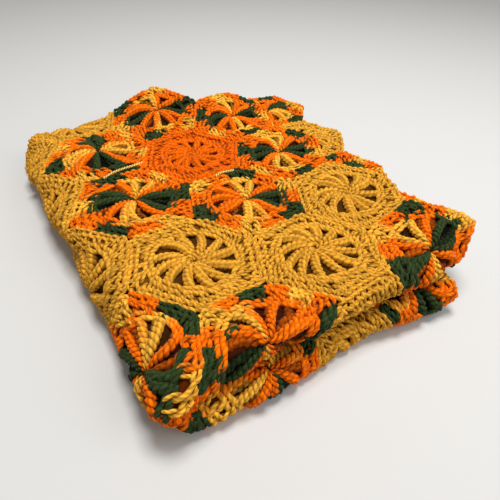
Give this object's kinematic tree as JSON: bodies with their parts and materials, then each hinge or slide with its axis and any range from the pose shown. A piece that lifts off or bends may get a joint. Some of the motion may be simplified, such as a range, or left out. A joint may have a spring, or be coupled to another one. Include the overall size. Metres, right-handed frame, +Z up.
{
  "type": "folded crochet afghan",
  "caption": "Hexagon patchwork crochet blanket, folded in half towards its front and in half again at its left side, lying flat as a soft layered bundle.",
  "frame": {"origin": "middle of the bounding box of the folded blanket, on the surface it rests on", "axes": "+Z up; +Y from the front fold to the open back edges; +X from the left fold to the open right edges"},
  "size_m": [0.4596, 0.5376, 0.0814],
  "materials": {
    "crochet": "matte twisted yarn in tan, orange, golden yellow and dark green"
  },
  "bodies": {
    "root": {"afghan": "crochet"}
  },
  "joints": []
}
